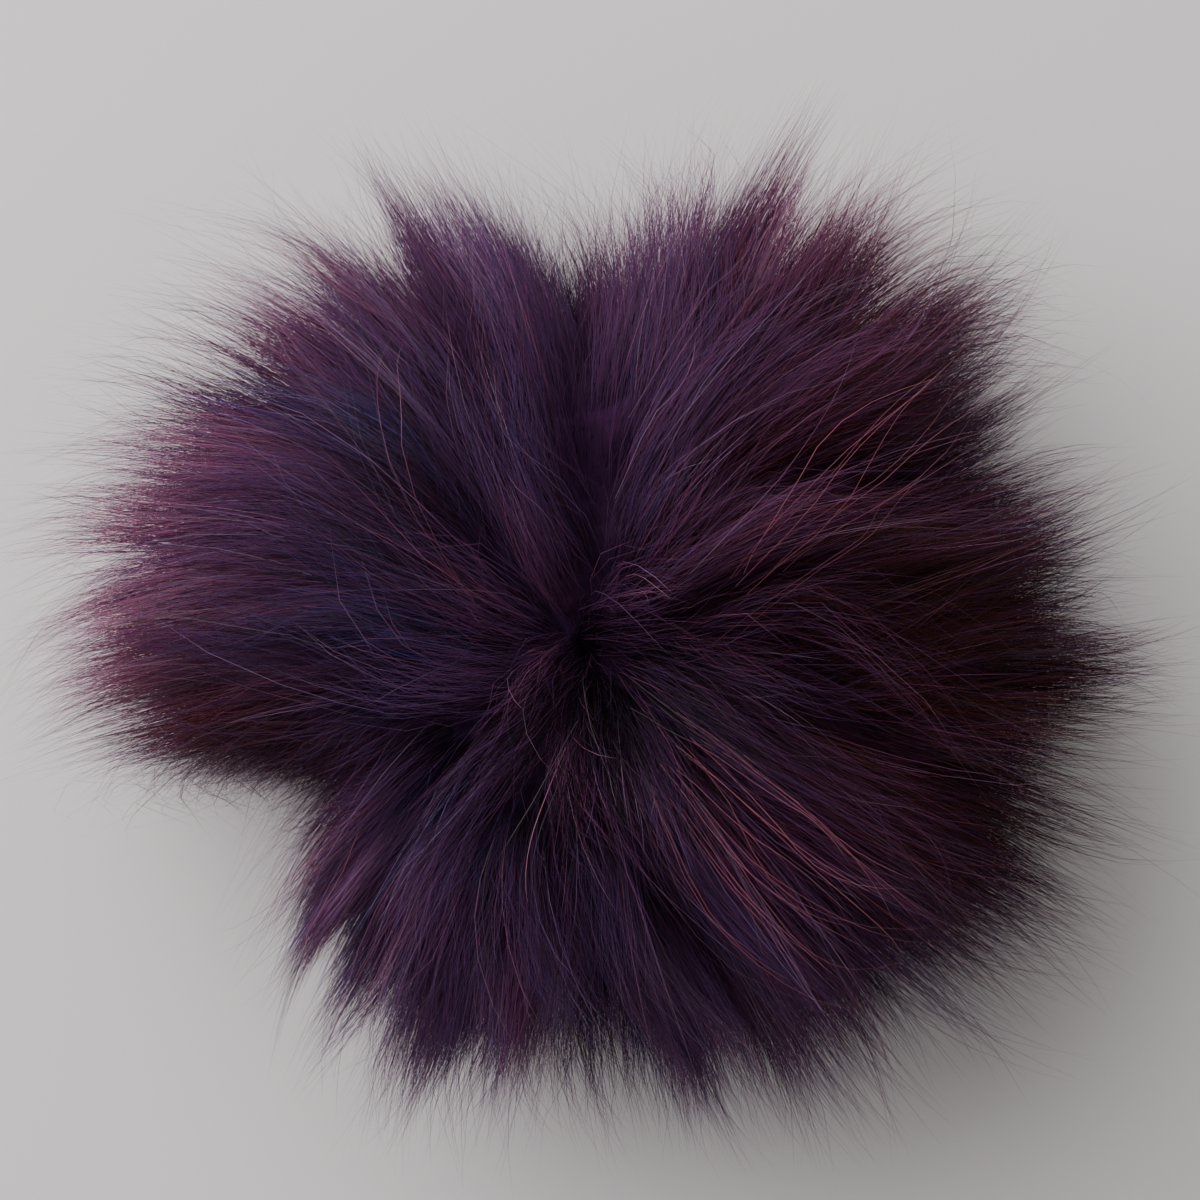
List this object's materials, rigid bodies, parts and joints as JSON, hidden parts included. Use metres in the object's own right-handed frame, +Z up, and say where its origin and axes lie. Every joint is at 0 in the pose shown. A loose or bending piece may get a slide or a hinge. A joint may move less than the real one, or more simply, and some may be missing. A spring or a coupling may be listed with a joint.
{
  "type": "fur pom pom",
  "caption": "Round fluffy pom pom of long dyed fur, a gathered ball of pelt whose hair stands out in uneven tufts, used as a bobble on a knitted hat or a bag.",
  "frame": {"origin": "on the surface it lies on, under the crown, at the middle of the ball's small flat spot", "axes": "+Z up through the crown where the hair parts, +X along the longest side, +Y towards the dip in the outline beside the two upper tufts"},
  "size_m": [0.1538, 0.1385, 0.1018],
  "materials": {
    "fur": "long soft dyed hair with a low sheen"
  },
  "bodies": {
    "root": {"fur_pompom": "fur"}
  },
  "joints": []
}
